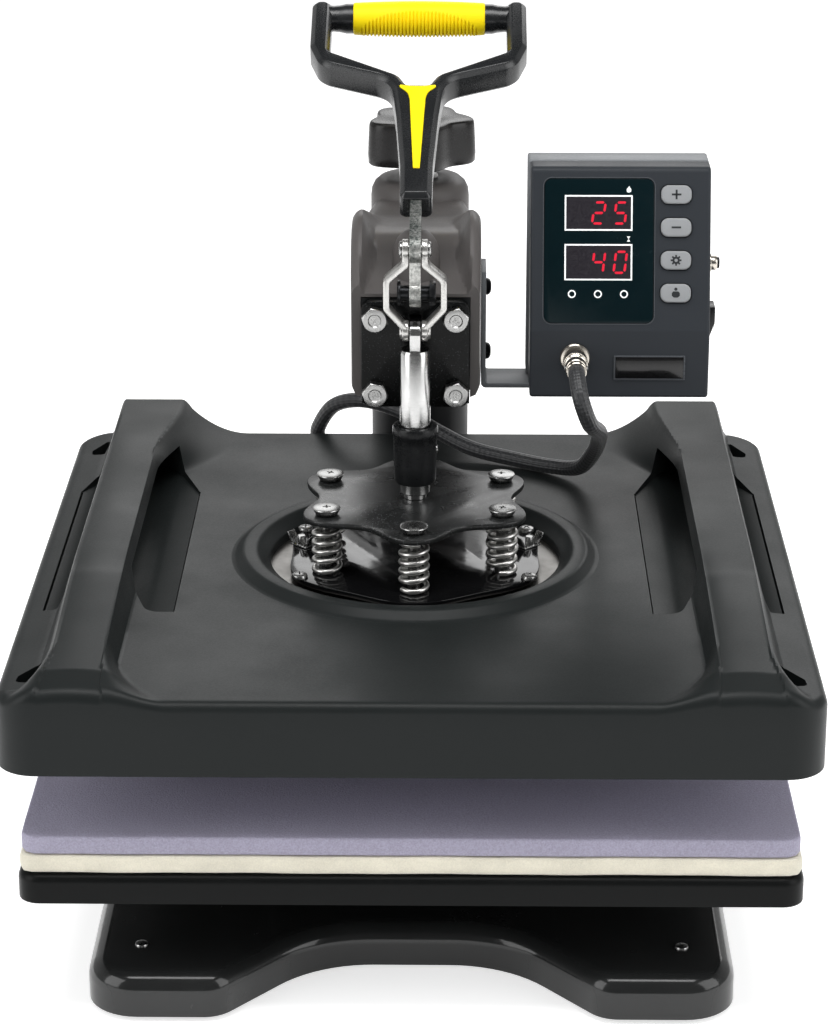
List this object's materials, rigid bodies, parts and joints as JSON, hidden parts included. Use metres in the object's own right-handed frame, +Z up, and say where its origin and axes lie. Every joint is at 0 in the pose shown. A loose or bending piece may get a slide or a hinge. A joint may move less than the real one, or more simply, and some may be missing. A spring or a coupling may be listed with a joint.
{
  "type": "heat_press",
  "caption": "Swing-away flat heat press with a toggle handle, sprung heated platen under a plastic cover, padded lower platen and a side control box",
  "frame": {"origin": "On the table, under the middle of the object's box", "axes": "+X to the operator's right, +Y to the rear where the column stands, +Z up"},
  "size_m": [0.4, 0.485, 0.4358],
  "materials": {
    "gloss_black": "black enamel, glossy, faint ripple",
    "satin_black": "black powder coat, satin",
    "foot_rubber": "matt black rubber",
    "cream_felt": "pressed felt, cream",
    "grey_silicone": "silicone sponge, lavender grey, speckled",
    "cast_aluminium": "machined cast aluminium",
    "grey_metal": "light grey sheet steel",
    "cover_plastic": "moulded charcoal plastic with a fine grain",
    "arm_plastic": "moulded brown-grey plastic with a fine grain",
    "yoke_plastic": "black moulded plastic",
    "yellow_plastic": "soft yellow plastic",
    "case_plastic": "dark grey moulded plastic",
    "display_plastic": "dark smoked window",
    "button_rubber": "grey soft keys",
    "bright_steel": "bright zinc or polished steel",
    "braided_cable": "black braided sleeve"
  },
  "bodies": {
    "base": {"base_frame": "gloss_black", "foot_front_left": "foot_rubber", "foot_front_right": "foot_rubber", "foot_rear_left": "foot_rubber", "foot_rear_right": "foot_rubber", "column": "satin_black", "platen_pedestal": "satin_black", "lower_platen": "satin_black", "felt_pad": "cream_felt", "silicone_pad": "grey_silicone"},
    "arm": {"swing_arm": "satin_black", "arm_cover": "arm_plastic", "toggle_bracket": "gloss_black", "plate_bolt_1": "bright_steel", "plate_bolt_2": "bright_steel", "plate_bolt_3": "bright_steel", "plate_bolt_4": "bright_steel", "control_bracket": "grey_metal", "control_case": "case_plastic", "control_back": "grey_metal", "display_window": "display_plastic", "cable_socket": "bright_steel", "fuse_holder": "bright_steel", "power_inlet": "case_plastic", "lever_pin": "bright_steel", "heater_cable": "braided_cable"},
    "knob": {"pressure_knob": "arm_plastic", "pressure_screw": "bright_steel"},
    "key_timer": {"button_timer": "button_rubber"},
    "key_mode": {"button_mode": "button_rubber"},
    "key_minus": {"button_minus": "button_rubber"},
    "key_plus": {"button_plus": "button_rubber"},
    "rocker": {"switch_rocker": "case_plastic"},
    "lever": {"lever_bar": "bright_steel", "handle_yoke": "yoke_plastic", "handle_inlay": "yellow_plastic", "handle_grip": "yellow_plastic", "link_pin": "bright_steel"},
    "links": {"link_left": "bright_steel", "link_right": "bright_steel"},
    "ram": {"ram_rod": "bright_steel", "coupling_sleeve": "satin_black", "spider_plate": "satin_black"},
    "platen": {"heat_platen": "cast_aluminium", "heat_shield": "grey_metal", "platen_cover": "cover_plastic", "suspension_plate": "gloss_black", "spring_1": "bright_steel", "spring_2": "bright_steel", "spring_3": "bright_steel", "spring_4": "bright_steel", "spring_5": "bright_steel", "spring_6": "bright_steel", "shoulder_bolt_1": "bright_steel", "shoulder_bolt_2": "bright_steel", "shoulder_bolt_3": "bright_steel", "shoulder_bolt_4": "bright_steel", "shoulder_bolt_5": "bright_steel", "shoulder_bolt_6": "bright_steel", "cable_gland": "case_plastic"}
  },
  "joints": [
    {"name": "arm_swing", "type": "hinge", "parent": "base", "child": "arm", "pos_m": [0, 0.1945, 0.256], "axis": [0, 0, 1], "continuous": true},
    {"name": "knob_turn", "type": "hinge", "parent": "arm", "child": "knob", "pos_m": [0, 0.1945, 0.34], "axis": [0, 0, 1], "range_deg": [-720, 720]},
    {"name": "key_timer_press", "type": "slide", "parent": "arm", "child": "key_timer", "axis": [0, 0.9565, -0.2916], "range_m": [0, 0.0012], "stiffness_N_per_m": 600},
    {"name": "key_mode_press", "type": "slide", "parent": "arm", "child": "key_mode", "axis": [0, 0.9565, -0.2916], "range_m": [0, 0.0012], "stiffness_N_per_m": 600},
    {"name": "key_minus_press", "type": "slide", "parent": "arm", "child": "key_minus", "axis": [0, 0.9565, -0.2916], "range_m": [0, 0.0012], "stiffness_N_per_m": 600},
    {"name": "key_plus_press", "type": "slide", "parent": "arm", "child": "key_plus", "axis": [0, 0.9565, -0.2916], "range_m": [0, 0.0012], "stiffness_N_per_m": 600},
    {"name": "rocker_tip", "type": "hinge", "parent": "arm", "child": "rocker", "pos_m": [0.1548, 0.0075, 0.293], "axis": [0, 1, 0], "range_deg": [-20, 0]},
    {"name": "handle_pull", "type": "hinge", "parent": "arm", "child": "lever", "pos_m": [0, -0.0425, 0.3214], "axis": [1, 0, 0], "range_deg": [0, 180]},
    {"name": "link_pivot", "type": "hinge", "parent": "lever", "child": "links", "pos_m": [0, -0.0425, 0.3447], "axis": [1, 0, 0], "range_deg": [-180, 0]},
    {"name": "ram_slide", "type": "slide", "parent": "arm", "child": "ram", "axis": [0, 0, -1], "range_m": [0, 0.0466]},
    {"name": "platen_float", "type": "slide", "parent": "ram", "child": "platen", "axis": [0, 0, 1], "range_m": [0, 0.0116], "deforming": ["spring_1", "spring_2", "spring_3", "spring_4", "spring_5", "spring_6"]}
  ],
  "couplings": [
    {"joint": "link_pivot", "follows": "handle_pull", "ratio": -1},
    {"joint": "ram_slide", "follows": "handle_pull", "m_per_rad": 0.014833},
    {"joint": "platen_float", "follows": "handle_pull", "m_per_rad": 0.0036923}
  ]
}
